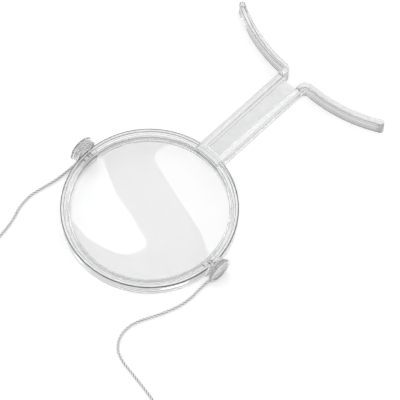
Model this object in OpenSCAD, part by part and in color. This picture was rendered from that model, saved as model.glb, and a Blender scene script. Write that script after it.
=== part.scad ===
// Neck magnifier: a large lens in a clear ring, with a channel arm and two curved legs that rest on the
// chest. The neck cord is wound on a bobbin at each side of the ring, under a screw-down clamp knob.
// Units are millimetres. Z is up from the table, +Y runs along the arm, +X is the wearer's one side.

/* [Lens] */
// Radius of the lens
lens_r = 53.4; // [40:0.1:60]
// How far the lens's top bulges above its edge
lens_top_rise = 3.7; // [2:0.1:3.7]
// How far the flatter underside bulges below its edge
lens_base_rise = 1; // [0.5:0.1:3]
// Thickness of the lens at its edge
lens_edge_t = 2; // [1.5:0.1:3]
// Bedding gap above, below and around the lens edge
lens_gap = 0.25; // [0.15:0.05:0.4]

/* [Ring] */
// Height of the ring band
ring_h = 9.4; // [9:0.1:12]
// Thickness of the ring's outer wall
ring_wall = 2.5; // [1.8:0.1:4]
// Width of the open groove round the rim
groove_w = 2.4; // [1.5:0.1:4]
// Depth of the open groove
groove_depth = 2.6; // [1.5:0.1:2.6]
// Thickness of the lip inside the groove
lip_w = 1.5; // [1.4:0.1:3]
// How far the lip reaches in over the lens
lip_over = 1.1; // [0.6:0.1:1.1]
// Depth from the rim's top to the edge of the lens
rim_depth = 3.8; // [3.8:0.1:4.2]
// Radius of the ring's rounded edges
ring_round = 0.7; // [0.3:0.1:0.9]

/* [Retaining ring] */
// How far the retaining ring's seat is wider than the lens pocket
seat_step = 1.8; // [1:0.1:2]
// Depth of the retaining ring below the flush face of the band
seat_sink = 0.3; // [0.1:0.1:0.6]
// Radial play of the retaining ring in its seat
seat_play = 0.05; // [0.02:0.01:0.1]
// Width of the prising notches
notch_w = 6; // [3:0.5:10]
// Depth of the prising notches
notch_depth = 1.2; // [0.5:0.1:1.5]

/* [Arm] */
// Width over both walls of the arm
arm_w = 20; // [16:0.5:26]
// Thickness of each wall of the arm
arm_wall = 4.1; // [2.5:0.1:5]
// Thickness of the floor between the walls
arm_floor = 2; // [1.2:0.1:4]
// Distance from the lens axis to the end of the floor
floor_end = 134.5; // [100:0.5:135]
// Distance from the lens axis to the far face of the legs at their root
leg_y = 141.9; // [141.5:0.1:170]
// Thickness of the end wall that closes the channel at the ring
end_wall = 1; // [0.6:0.1:3]
// Gap of the joint between the arm and the ring
joint_gap = 0.05; // [0.02:0.01:0.1]

/* [Legs] */
// Height of the legs, from the table to the rim's level
leg_h = 12; // [12:0.5:16]
// Radius of each leg's hollow face, which meets the chest
leg_r = 104; // [80:1:160]
// Distance from the middle of the object to the middle of each leg's tip
leg_tip_x = 64.4; // [45:0.1:75]
// Inside radius of the bend from the arm's wall into the leg
bend_r = 1.9; // [1:0.1:2]
// Radius of the rounded edges of the arm and legs
leg_round = 0.7; // [0.3:0.1:1]

/* [Knobs] */
// Radius of the clamp knob
knob_r = 9.25; // [8.5:0.05:10]
// Thickness of the clamp knob
knob_t = 1.6; // [1.4:0.1:3]
// Radius of the knob's rounded edge
knob_round = 0.5; // [0.2:0.1:0.7]
// Radius of the shallow dish in the knob's outer face
dish_r = 7; // [4:0.1:8]
// Depth of the dish
dish_depth = 0.4; // [0.2:0.1:0.5]
// Radius of the threaded stud
stud_r = 1.5; // [1:0.05:1.5]
// Depth of the stud in the ring
stud_grip = 4.6; // [3:0.1:4.6]
// Play of the stud at the bottom of its hole
stud_end_gap = 0.4; // [0.2:0.1:0.5]
// Thickness of the knob over the end of the stud
stud_cover = 0.4; // [0.3:0.1:0.6]
// Radial running clearance round the stud
run_fit = 0.08; // [0.02:0.01:0.1]
// Pitch of the stud's thread, which is how far one turn moves the knob
thread_pitch = 0.5; // [0.4:0.05:0.8]

/* [Knob boss and bobbin] */
// Width of the boss block
boss_w = 10; // [8:0.1:14]
// How far the boss stands out from the ring
boss_out = 0.7; // [0.5:0.1:4]
// Height of the boss block, down from the rim's level
boss_h = 8.5; // [7:0.1:9]
// Radius of the bobbin's flange
flange_r = 8.8; // [6:0.1:9]
// Thickness of the bobbin's flange
flange_t = 0.6; // [0.5:0.1:1.5]
// Radius of the bobbin's hub
hub_r = 2.8; // [2.2:0.1:2.8]
// Radius of the pressure washer
washer_r = 8; // [5:0.1:8.5]
// Thickness of the pressure washer
washer_t = 0.5; // [0.5:0.1:1.5]
// Gap between the pressure washer and the knob
washer_gap = 0.1; // [0.05:0.01:0.2]

/* [Cord] */
// Diameter of the neck cord
cord_d = 2; // [1.6:0.1:2.2]
// Gap between neighbouring turns of cord
turn_gap = 0.45; // [0.42:0.01:0.6]
// Gap between the wound cord and what it lies against
wind_gap = 0.3; // [0.2:0.05:0.4]
// Mean radius of the stored coil
coil_mid_r = 12; // [11:0.5:14]
// Width of the coil's tie
tie_w = 4; // [2:0.5:6]
// Thickness of the coil's tie
tie_t = 0.4; // [0.3:0.05:0.8]

/* [Hidden] */

$fn = 96;
eps = 0.01;
big = 400;

// Ring, worked out from the lens
rim_z = leg_h;
base_z = rim_z - ring_h;
pocket_r = lens_r + lens_gap;
lip_in_r = lens_r - lip_over;
lip_out_r = lip_in_r + lip_w;
wall_in_r = lip_out_r + groove_w;
ring_r = wall_in_r + ring_wall;
lens_z = rim_z - rim_depth - lens_edge_t / 2;
lip_z = lens_z + lens_edge_t / 2 + lens_gap;
seat_z = lens_z - lens_edge_t / 2 - lens_gap;
groove_z = rim_z - groove_depth;
seat_r = pocket_r + seat_step;
// Lens faces, each a cap of a large sphere
lens_top_z = lens_z + lens_edge_t / 2 + lens_top_rise;
lens_base_z = lens_z - lens_edge_t / 2 - lens_base_rise;
top_r = cap_r(lens_top_rise);
base_r = cap_r(lens_base_rise);
// Arm and legs
channel_w = arm_w - 2 * arm_wall;
bend_out_r = bend_r + arm_wall;
bend_x = arm_w / 2 + bend_r;
bend_y = leg_y - bend_out_r;
arc_y = leg_y + leg_r;
arc_mid_r = leg_r + arm_wall / 2;
leg_turn = asin((leg_tip_x - bend_x) / arc_mid_r);
tip_y = arc_y - arc_mid_r * cos(leg_turn);
reach_y = tip_y + arm_wall / 2;
// Knobs: places along the knob's own axis, counted from the lens axis
knob_z = knob_r;
boss_x = ring_r + boss_out;
hub_x = boss_x + flange_t;
wind_x = hub_x + wind_gap + cord_d / 2;
hub_end_x = wind_x + cord_d / 2;
washer_x = hub_end_x + wind_gap;
knob_x = washer_x + washer_t + washer_gap;
stud_x = boss_x - stud_grip;
stud_end_x = knob_x + knob_t - dish_depth - stud_cover;
bore_r = stud_r + run_fit;
// Wound cord on each bobbin, a flat spiral from the hub out to the exit at the bottom
turn_pitch = cord_d + turn_gap;
floor_gap = 0.2;
wind_in_r = hub_r + wind_gap + cord_d / 2;
wind_out_r = knob_z - floor_gap - cord_d / 2;
wind_turns = (wind_out_r - wind_in_r) / turn_pitch;
exit_z = knob_z - wind_out_r;
exit_y = -cord_d;
rings_per_turn = 24;
// Cord on the table
lie_z = cord_d / 2 + 0.05;
coil_x = -46;
coil_y = -126;
coil_z = lie_z + tie_t;
coil_start = 180;
coil_leave = 248.3;
coil_turns = 4 + (coil_leave - coil_start) / 360;
coil_out_r = coil_mid_r + turn_pitch * coil_turns / 4;
coil_in_r = coil_mid_r - turn_pitch * coil_turns / 4;
coil_top_z = coil_z + turn_pitch;
tie_angle = 20;
// The whole object is moved along Y so that its length is centred on the origin
ring_y = (ring_r - reach_y) / 2;

// Route of the cord from the left bobbin to the coil, in the lens's own place on the table
left_route = [
    [-wind_x, exit_y, exit_z], [-wind_x, 2 * exit_y, exit_z], [-61.4, -9, 1.1], [-61.6, -16, lie_z], [-62.4, -26, lie_z],
    [-64.4, -36, lie_z], [-65.9, -46, lie_z], [-64.8, -56, lie_z], [-61.4, -66, lie_z],
    [-59, -78, lie_z], [-58.6, -90, lie_z], [-59.4, -102, lie_z], [-60.3, -114, lie_z],
    [coil_x - coil_out_r, coil_y + 2 * cord_d, coil_z], [coil_x - coil_out_r, coil_y + cord_d, coil_z]];
// Where the cord leaves the coil's upper layer, and the way it points there
leave_at = [coil_x + coil_out_r * cos(coil_leave), coil_y + coil_out_r * sin(coil_leave), coil_top_z];
leave_way = [-sin(coil_leave), cos(coil_leave), 0];
// Route of the cord from the right bobbin round to the coil
right_route = [
    [wind_x, exit_y, exit_z], [wind_x, 2 * exit_y, exit_z], [61.4, -9, 1.1], [61.3, -16, lie_z], [61.8, -24, lie_z],
    [60.5, -33.5, lie_z], [57.7, -42, lie_z], [53.9, -50.8, lie_z], [50, -59, lie_z],
    [47.9, -67, lie_z], [48.9, -76, lie_z], [54.2, -83.6, lie_z], [62.5, -87.4, lie_z],
    [74, -89.3, lie_z], [86, -91.3, lie_z], [96, -93.4, lie_z], [102, -96.8, lie_z],
    [103.8, -102, lie_z], [101.4, -107.6, lie_z], [95, -113.5, lie_z], [83, -124.2, lie_z],
    [71, -135, lie_z], [59, -145.8, lie_z], [47, -156.5, lie_z], [38, -164, lie_z],
    [31, -168.6, lie_z], [23, -170, lie_z], [12, -166.3, lie_z], [0, -161, lie_z],
    [-13, -155.5, lie_z], [-26, -150.2, lie_z], [-32.5, -147.4, 1.2], [-38, -145, 2.2],
    [-43.6, -142.7, 3.6],
    leave_at + 2 * cord_d * leave_way, leave_at + cord_d * leave_way];

// Radius of the sphere whose cap covers the lens and rises that far
function cap_r(rise) = (lens_r * lens_r + rise * rise) / (2 * rise);
// Vectors
function unit(v) = v / norm(v);
// Way that a path points at its point i
function way(path, i) =
    unit(path[min(i + 1, len(path) - 1)] - path[max(i - 1, 0)]);
// One point of a smooth curve through b and c, with a before and d after, at share t of the way
function smooth(a, b, c, d, t) =
    0.5 * (2 * b + (c - a) * t + (2 * a - 5 * b + 4 * c - d) * t * t + (3 * b - a - 3 * c + d) * t * t * t);
// A route with one more point halfway along each long stretch
function finer(path) = [
    for (i = [0 : len(path) - 2]) each
        let (a = path[max(i - 1, 0)], b = path[i], c = path[i + 1], d = path[min(i + 2, len(path) - 1)])
        norm(c - b) < 3.5 * cord_d ? [b] : [b, smooth(a, b, c, d, 0.5)],
    path[len(path) - 1]];
// Points of a tube's skin, ring by ring, with ref never along the path
function skin(path, r, sides, ref) = [
    for (i = [0 : len(path) - 1])
        let (t = way(path, i), side = unit(cross(ref, t)), other = cross(t, side))
        for (k = [0 : sides - 1]) path[i] + r * (cos(360 * k / sides) * side + sin(360 * k / sides) * other)];
function skin_faces(rings, sides) = concat(
    [for (i = [0 : rings - 2]) for (k = [0 : sides - 1])
        let (a = i * sides + k, b = i * sides + (k + 1) % sides) each [[a, a + sides, b], [b, a + sides, b + sides]]],
    [for (k = [1 : sides - 2]) [0, k, k + 1]],
    [for (k = [1 : sides - 2]) let (last = (rings - 1) * sides) [last, last + k + 1, last + k]]);

module tube(path, r, sides, ref) {
    polyhedron(points = skin(path, r, sides, ref), faces = skin_faces(len(path), sides), convexity = 10);
}

// Spiral of the wound cord on the right bobbin, from the hub out, with a straight end along the exit
function winding_path() = concat(
    [for (i = [0 : round(wind_turns * rings_per_turn)])
        let (share = i / round(wind_turns * rings_per_turn), turned = 360 * wind_turns * (1 - share) - 90,
            r = wind_in_r + (wind_out_r - wind_in_r) * share)
        [wind_x, r * cos(turned), knob_z + r * sin(turned)]],
    [[wind_x, exit_y, exit_z]]);
// Coil in two layers: in along the table, up a layer in the half turn in the middle, and out again
function coil_point(turn) =
    let (half = coil_turns / 2, r = coil_in_r + turn_pitch * abs(turn - half),
        climb = min(max((turn - half) * 2 + 0.5, 0), 1), angle = coil_start + 360 * turn)
    [coil_x + r * cos(angle), coil_y + r * sin(angle), coil_z + turn_pitch * climb];
coil_rings = round(coil_turns * rings_per_turn);
function coil_path() = concat(
    [coil_point(0) + [0, cord_d, 0]],
    [for (i = [0 : coil_rings]) coil_point(coil_turns * i / coil_rings)],
    [leave_at + cord_d * leave_way]);
// Least gap of a wound tube to itself, between points more than half a turn apart
function least_gap(path) =
    min([for (i = [0 : len(path) - 1]) for (j = [i + rings_per_turn / 2 : 1 : len(path) - 1])
        norm(path[i] - path[j])]) - cord_d;
echo("least gap of the windings to themselves", least_gap(winding_path()));
echo("least gap of the coil to itself", least_gap(coil_path()));

// Everything is drawn round the lens axis and put in its place by this
module placed() {
    translate([0, ring_y, 0]) children();
}

module on_left() {
    mirror([1, 0, 0]) children();
}

// A rectangle with its low corner at x, y and its corners rounded
module rounded_box(x, y, w, h, r) {
    translate([x + r, y]) square([w - 2 * r, h]);
    translate([x, y + r]) square([w, h - 2 * r]);
    for (cx = [x + r, x + w - r], cy = [y + r, y + h - r]) translate([cx, cy]) circle(r);
}

// A solid turned about the knob axis on the right, drawn as radius by distance along +X
module on_knob_axis() {
    translate([0, 0, knob_z]) rotate([0, 90, 0]) children();
}

module knob_ring(x, length, outer, inner) {
    on_knob_axis() translate([0, 0, x]) difference() {
        cylinder(h = length, r = outer);
        translate([0, 0, -eps]) cylinder(h = length + 2 * eps, r = inner);
    }
}

// Band of the ring, with the lens pocket, the lip over the lens and the open groove
module band() {
    rotate_extrude() difference() {
        rounded_box(lip_in_r, base_z, ring_r - lip_in_r, ring_h, ring_round);
        translate([lip_out_r, groove_z]) square([groove_w, big]);
        translate([0, seat_z]) square([pocket_r, lip_z - seat_z]);
        translate([0, 0]) square([seat_r, seat_z]);
    }
}

// Block on the right that carries a knob: it fills the groove and stands out of the band
module boss() {
    intersection() {
        translate([0, -boss_w / 2, groove_z - eps]) cube([ring_r, boss_w, rim_z - groove_z + eps]);
        difference() {
            cylinder(h = rim_z, r = wall_in_r + ring_wall / 2);
            translate([0, 0, -eps]) cylinder(h = rim_z + 1, r = lip_out_r - lip_w / 2);
        }
    }
    difference() {
        translate([0, 0, rim_z - boss_h]) linear_extrude(boss_h)
            rounded_box(wall_in_r, -boss_w / 2, boss_x - wall_in_r, boss_w, ring_round);
        translate([0, 0, -eps]) cylinder(h = big, r = ring_r - ring_wall / 2);
    }
}

module stud_hole() {
    on_knob_axis() translate([0, 0, stud_x - stud_end_gap]) cylinder(h = boss_x, r = bore_r);
}

module lens_ring() {
    color("whitesmoke", 0.6) placed() difference() {
        union() {
            band();
            boss();
            on_left() boss();
        }
        stud_hole();
        on_left() stud_hole();
        arm_notch();
    }
}

// Notch in the rim that takes the tongue of the arm
module arm_notch() {
    difference() {
        translate([-arm_w / 2 - joint_gap, 0, groove_z]) cube([arm_w + 2 * joint_gap, big, big]);
        cylinder(h = big, r = lip_out_r);
    }
}

module lens() {
    color("white", 0.4) placed() rotate_extrude() intersection() {
        translate([0, lens_base_z - 1]) square([lens_r, lens_top_z - lens_base_z + 2]);
        translate([0, lens_top_z - top_r]) circle(top_r, $fn = 720);
        translate([0, lens_base_z + base_r]) circle(base_r, $fn = 1440);
    }
}

module retaining_ring() {
    ring_low = base_z + seat_sink;
    color("whitesmoke", 0.6) placed() difference() {
        rotate_extrude() difference() {
            translate([lip_in_r, ring_low])
                square([seat_r - seat_play - lip_in_r, seat_z - ring_low]);
            translate([seat_r - seat_play, ring_low]) rotate(45) square(seat_step / 3, center = true);
        }
        for (a = [30 : 120 : 270]) rotate(a)
            translate([0, -notch_w / 2, ring_low - eps])
                cube([lip_in_r + (seat_r - lip_in_r) / 2, notch_w, notch_depth]);
    }
}

// One wall of the arm on the right, past the end of the floor, then the bend, the leg and its tip
module leg() {
    translate([0, bend_y, 0]) rotate([90, 0, 0]) linear_extrude(bend_y - floor_end + 1)
        rounded_box(channel_w / 2, base_z, arm_wall, ring_h, leg_round);
    translate([bend_x, bend_y, 0]) rotate(90) rotate_extrude(angle = 90)
        rounded_box(bend_r, 0, arm_wall, leg_h, leg_round);
    translate([bend_x, arc_y, 0]) rotate(-90) rotate_extrude(angle = leg_turn)
        rounded_box(leg_r, 0, arm_wall, leg_h, leg_round);
    translate([leg_tip_x, tip_y, 0]) cylinder(h = leg_h, r = arm_wall / 2);
}

// Channel of the arm, open at the top, as a section drawn across the arm
module channel_section() {
    difference() {
        rounded_box(-arm_w / 2, base_z, arm_w, ring_h, leg_round);
        translate([-channel_w / 2, base_z + arm_floor]) square([channel_w, big]);
    }
    for (side = [-1, 1]) translate([side * (arm_w - arm_wall) / 2, 0])
        rounded_box(-arm_wall / 2, base_z, arm_wall, ring_h, leg_round);
}

// The arm and both legs, one moulding: a tongue at the root lies in the notch of the rim
module chest_stand() {
    color("whitesmoke", 0.6) placed() {
        difference() {
            union() {
                translate([0, floor_end, 0]) rotate([90, 0, 0]) linear_extrude(floor_end) channel_section();
                intersection() {
                    translate([-channel_w / 2 - eps, 0, base_z + eps])
                        cube([channel_w + 2 * eps, big, ring_h - 2 * eps]);
                    cylinder(h = rim_z, r = ring_r + end_wall);
                }
            }
            translate([0, 0, -eps]) cylinder(h = groove_z + joint_gap, r = ring_r + joint_gap);
            cylinder(h = big, r = lip_out_r + joint_gap);
        }
        leg();
        on_left() leg();
    }
}

// Bobbin on the right boss: a flange against the boss and a hub for the cord
module bobbin() {
    knob_ring(boss_x, flange_t, flange_r, bore_r);
    knob_ring(hub_x - eps, hub_end_x - hub_x + eps, hub_r, bore_r);
}

module left_bobbin() {
    color("whitesmoke", 0.6) placed() on_left() bobbin();
}

module right_bobbin() {
    color("whitesmoke", 0.6) placed() bobbin();
}

module pressure_washer() {
    knob_ring(washer_x, washer_t, washer_r, bore_r);
}

module left_pressure_washer() {
    color("white", 0.7) placed() on_left() pressure_washer();
}

module right_pressure_washer() {
    color("white", 0.7) placed() pressure_washer();
}

// Clamp knob on the right: a round disc with a dished outer face and a blind hole for its stud
module knob() {
    on_knob_axis() translate([0, 0, knob_x]) difference() {
        rotate_extrude() difference() {
            intersection() {
                rounded_box(-knob_r, 0, 2 * knob_r, knob_t, knob_round);
                square([knob_r, knob_t]);
            }
            translate([0, knob_t - dish_depth]) square([dish_r, dish_depth + eps]);
        }
        translate([0, 0, -eps]) cylinder(h = stud_end_x - knob_x + eps, r = stud_r);
    }
}

module left_knob() {
    color("whitesmoke", 0.6) placed() on_left() knob();
}

module right_knob() {
    color("whitesmoke", 0.6) placed() knob();
}

module stud() {
    on_knob_axis() translate([0, 0, stud_x]) cylinder(h = stud_end_x - stud_x, r = stud_r);
}

module left_stud() {
    color("gainsboro") placed() on_left() stud();
}

module right_stud() {
    color("gainsboro") placed() stud();
}

module winding() {
    tube(winding_path(), cord_d / 2, 6, [1, 0, 0]);
}

module left_winding() {
    color("lightgray") placed() on_left() winding();
}

module right_winding() {
    color("lightgray") placed() winding();
}

module left_cord() {
    color("lightgray") placed() tube(finer(left_route), cord_d / 2, 8, [0, 0, 1]);
}

module right_cord() {
    color("lightgray") placed() tube(finer(right_route), cord_d / 2, 8, [0, 0, 1]);
}

module cord_coil() {
    color("lightgray") placed() tube(coil_path(), cord_d / 2, 6, [0, 0, 1]);
}

// Flat band round all the turns at one place
module coil_tie() {
    reach = (coil_out_r - coil_in_r) / 2 + cord_d / 2 + wind_gap;
    rise = coil_top_z - coil_z + cord_d + 2 * wind_gap;
    color("white") placed() translate([coil_x, coil_y, 0]) rotate(tie_angle)
        translate([coil_mid_r, tie_w / 2, 0]) rotate([90, 0, 0]) linear_extrude(tie_w) difference() {
            rounded_box(-reach - tie_t, 0.05, 2 * (reach + tie_t), tie_t + rise, 1);
            rounded_box(-reach, 0.05 + tie_t, 2 * reach, rise - tie_t, 0.6);
        }
}

lens_ring();
lens();
retaining_ring();
chest_stand();
left_bobbin();
right_bobbin();
left_pressure_washer();
right_pressure_washer();
left_knob();
right_knob();
left_stud();
right_stud();
left_winding();
right_winding();
left_cord();
right_cord();
cord_coil();
coil_tie();
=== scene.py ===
# Neck magnifier on a white table: a clear ring with its lens, the channel arm and chest legs, two cord
# clamps, and the twisted neck cord with its spare length coiled beside it. Lengths are metres.
import math
import bpy
from mathutils import Matrix, Vector


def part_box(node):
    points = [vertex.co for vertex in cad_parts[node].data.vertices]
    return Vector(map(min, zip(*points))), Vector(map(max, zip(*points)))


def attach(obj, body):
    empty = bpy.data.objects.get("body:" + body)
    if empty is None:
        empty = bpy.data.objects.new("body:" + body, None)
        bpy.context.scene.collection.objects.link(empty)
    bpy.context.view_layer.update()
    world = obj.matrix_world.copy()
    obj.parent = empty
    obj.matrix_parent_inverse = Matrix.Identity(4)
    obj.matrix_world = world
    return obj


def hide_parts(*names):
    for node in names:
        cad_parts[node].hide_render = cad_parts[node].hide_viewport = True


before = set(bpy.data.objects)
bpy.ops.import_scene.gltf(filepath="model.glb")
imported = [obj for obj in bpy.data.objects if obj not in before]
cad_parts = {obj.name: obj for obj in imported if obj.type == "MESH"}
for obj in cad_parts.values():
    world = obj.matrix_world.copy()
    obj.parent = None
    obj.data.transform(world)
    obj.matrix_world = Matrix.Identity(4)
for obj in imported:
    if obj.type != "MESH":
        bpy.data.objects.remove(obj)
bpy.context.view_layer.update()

# Camera and table
# The object lies on a white sheet, and the camera looks down on it over the neck cord, from far off
# with a long lens. The ring's middle and the rim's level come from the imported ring.
mm = 0.001
ring_low, ring_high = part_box("lens_ring")
ring_y = (ring_low.y + ring_high.y) / 2
rim_z = ring_high.z
lens_spot = Vector((0, ring_y, rim_z))

picture_px = 400
lens_px = (149.62, 207.24)
px_per_m = 1524.3
camera_distance = 2.337
camera_azimuth = math.radians(44.79)
camera_elevation = math.radians(62.98)
camera_roll = math.radians(-0.05)

to_camera = Vector((math.sin(camera_azimuth) * math.cos(camera_elevation),
                    -math.cos(camera_azimuth) * math.cos(camera_elevation), math.sin(camera_elevation)))
level_right = Vector((math.cos(camera_azimuth), math.sin(camera_azimuth), 0))
picture_right = Matrix.Rotation(-camera_roll, 3, to_camera) @ level_right
picture_up = to_camera.cross(picture_right)

sensor = 36 * mm
camera_data = bpy.data.cameras.new("camera")
camera_data.sensor_width = sensor / mm
camera_data.lens = px_per_m * camera_distance / picture_px * sensor / mm
camera_data.clip_end = 50
camera = bpy.data.objects.new("camera", camera_data)
bpy.context.scene.collection.objects.link(camera)
stand_at = lens_spot + camera_distance * to_camera
look_at = (lens_spot + (picture_px / 2 - lens_px[0]) / px_per_m * picture_right
           + (lens_px[1] - picture_px / 2) / px_per_m * picture_up)
axis_z = (stand_at - look_at).normalized()
axis_x = picture_up.cross(axis_z).normalized()
axis_y = axis_z.cross(axis_x)
camera.matrix_world = Matrix.Translation(stand_at) @ Matrix((axis_x, axis_y, axis_z)).transposed().to_4x4()
bpy.context.scene.camera = camera
bpy.context.scene.view_settings.view_transform = "Standard"
bpy.context.scene.cycles.max_bounces = 32
bpy.context.scene.cycles.glossy_bounces = 32
bpy.context.scene.cycles.transmission_bounces = 32


def clear_selection():
    if bpy.context.object and bpy.context.object.mode != "OBJECT":
        bpy.ops.object.mode_set(mode="OBJECT")
    bpy.ops.object.select_all(action="DESELECT")


def new_material(name):
    """A material with its nodes and links, emptied of all but the output."""
    material = bpy.data.materials.new(name)
    material.use_nodes = True
    tree = material.node_tree
    for node in list(tree.nodes):
        if node.type != "OUTPUT_MATERIAL":
            tree.nodes.remove(node)
    return material, tree.nodes, tree.links, tree.nodes["Material Output"]


def math_node(nodes, links, operation, first, second):
    node = nodes.new("ShaderNodeMath")
    node.operation = operation
    for socket, value in zip(node.inputs, (first, second)):
        if isinstance(value, (int, float)):
            socket.default_value = value
        else:
            links.new(value, socket)
    return node.outputs[0]


def light_path(nodes, links):
    """The kinds of ray, and whether a ray comes by way of gloss or of clear plastic."""
    path = nodes.new("ShaderNodeLightPath").outputs
    return path, math_node(nodes, links, "MAXIMUM", path["Is Glossy Ray"], path["Is Transmission Ray"])


floor_size, floor_gap = 12, 0.05 * mm
clear_selection()
bpy.ops.mesh.primitive_plane_add(size=floor_size, location=(0, 0, -floor_gap))
floor = bpy.context.object
floor.name = "white_table"
material, nodes, links, output = new_material("white_sheet")
paper = nodes.new("ShaderNodeBsdfPrincipled")
paper.inputs["Base Color"].default_value = (0.86, 0.86, 0.86, 1)
paper.inputs["Roughness"].default_value = 0.9
paper.inputs["Specular IOR Level"].default_value = 0
paper.inputs["Emission Color"].default_value = (1, 1, 1, 1)
floor_glow, floor_glow_in_plastic = 0.3, 0.26
path, by_plastic = light_path(nodes, links)
glow_in_plastic = math_node(nodes, links, "MULTIPLY", by_plastic, floor_glow_in_plastic)
glow_seen = math_node(nodes, links, "MULTIPLY", path["Is Camera Ray"], floor_glow)
links.new(math_node(nodes, links, "MAXIMUM", glow_in_plastic, glow_seen), paper.inputs["Emission Strength"])
links.new(paper.outputs[0], output.inputs["Surface"])
floor.data.materials.append(material)

# Light: a white room that darkens towards its walls, as seen in gloss and through glass
room_light = 0.8
black, white = (0, 0, 0, 1), (1, 1, 1, 1)


def mix_colours(nodes, links, first, second, share, name="mix", blend="MIX"):
    """A colour between two others, where each of the three is a value or another node's output."""
    node = nodes.new("ShaderNodeMix")
    node.data_type = "RGBA"
    node.blend_type = blend
    node.name = name
    for socket, value in (("A", first), ("B", second), ("Factor", share)):
        if isinstance(value, (int, float, tuple)):
            node.inputs[socket].default_value = value
        else:
            links.new(value, node.inputs[socket])
    return node.outputs["Result"]


world = bpy.data.worlds.new("room")
bpy.context.scene.world = world
world.use_nodes = True
nodes, links = world.node_tree.nodes, world.node_tree.links
background = nodes["Background"]
place = nodes.new("ShaderNodeTexCoord")
split = nodes.new("ShaderNodeSeparateXYZ")
links.new(place.outputs["Generated"], split.inputs[0])
height = nodes.new("ShaderNodeValToRGB")
height.color_ramp.elements[0].position = 0.0
height.color_ramp.elements[0].color = (0.3, 0.3, 0.305, 1)
wall_top = height.color_ramp.elements.new(0.35)
wall_top.color = (0.55, 0.55, 0.56, 1)
height.color_ramp.elements[2].position = 0.9
height.color_ramp.elements[2].color = (0.6, 0.6, 0.61, 1)
links.new(split.outputs["Z"], height.inputs["Fac"])
path, by_plastic = light_path(nodes, links)
room = mix_colours(nodes, links, (room_light, room_light, room_light, 1), height.outputs["Color"], by_plastic)
links.new(mix_colours(nodes, links, room, white, path["Is Camera Ray"]), background.inputs["Color"])

# One large softbox hangs behind the object. The lens mirrors it twice, upright in its top and upside
# down in its underside, so its outline is drawn where the bright patches in the lens put it.
softbox_distance = 1.5
softbox_light = 4.5
mirrored = Vector((-to_camera.x, -to_camera.y, to_camera.z))
softbox_right = mirrored.cross(Vector((0, 0, 1))).normalized()
softbox_up = softbox_right.cross(mirrored)
softbox_outline = [(-0.420, -0.750), (-0.255, -0.360), (-0.192, -0.120), (-0.090, 0.078), (-0.015, 0.233),
                   (-0.030, 0.278), (-0.080, 0.310), (-0.143, 0.320), (-0.253, 0.277), (-0.369, 0.182),
                   (-0.457, 0.037), (-0.760, -0.200), (-0.760, -0.750)]
clear_selection()
bpy.ops.mesh.primitive_circle_add(vertices=len(softbox_outline), radius=1, fill_type="NGON")
softbox = bpy.context.object
softbox.name = "softbox"
for vertex, (across, along) in zip(softbox.data.vertices, softbox_outline):
    vertex.co = lens_spot + softbox_distance * mirrored + across * softbox_right + along * softbox_up
material, nodes, links, output = new_material("softbox_cloth")
glow = nodes.new("ShaderNodeEmission")
glow.inputs["Strength"].default_value = softbox_light
links.new(glow.outputs[0], output.inputs["Surface"])
softbox.data.materials.append(material)
softbox.visible_camera = False

# Neck cord
# A twisted cord of three strands, 2 mm thick. Each end is wound on a bobbin at the ring's side, and the
# spare length lies in a coil of two layers held by a tie, out of the picture.
cord_d = 2 * mm
knob_z = 9.25
wind_x, exit_y, exit_z, lie_z = 61.3, -2.0, 1.2, 1.05
wind_in_r, wind_out_r, turn_pitch = 4.1, 8.05, 2.45
coil_x, coil_y, coil_z, coil_mid_r = -46, -126, 1.45, 12
coil_start, coil_leave = 180, 248.3
points_per_turn = 24


def bobbin_turns(side):
    """The wound cord from the hub out to its straight end, on the right for side 1 and the left for -1."""
    turns = (wind_out_r - wind_in_r) / turn_pitch
    count = round(turns * points_per_turn)
    points = []
    for i in range(count + 1):
        share = i / count
        turned = math.radians(360 * turns * (1 - share) - 90)
        r = wind_in_r + (wind_out_r - wind_in_r) * share
        points.append((side * wind_x, r * math.cos(turned), knob_z + r * math.sin(turned)))
    return points + [(side * wind_x, exit_y, exit_z)]


coil_turns = 4 + (coil_leave - coil_start) / 360
coil_out_r = coil_mid_r + turn_pitch * coil_turns / 4
coil_in_r = coil_mid_r - turn_pitch * coil_turns / 4


def coil_points():
    """In along the table, up a layer in the half turn in the middle, and out again."""
    count = round(coil_turns * points_per_turn)
    points = []
    for i in range(count + 1):
        turn = coil_turns * i / count
        r = coil_in_r + turn_pitch * abs(turn - coil_turns / 2)
        climb = min(max((turn - coil_turns / 2) * 2 + 0.5, 0), 1)
        angle = math.radians(coil_start + 360 * turn)
        points.append((coil_x + r * math.cos(angle), coil_y + r * math.sin(angle),
                       coil_z + turn_pitch * climb))
    return points


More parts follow.
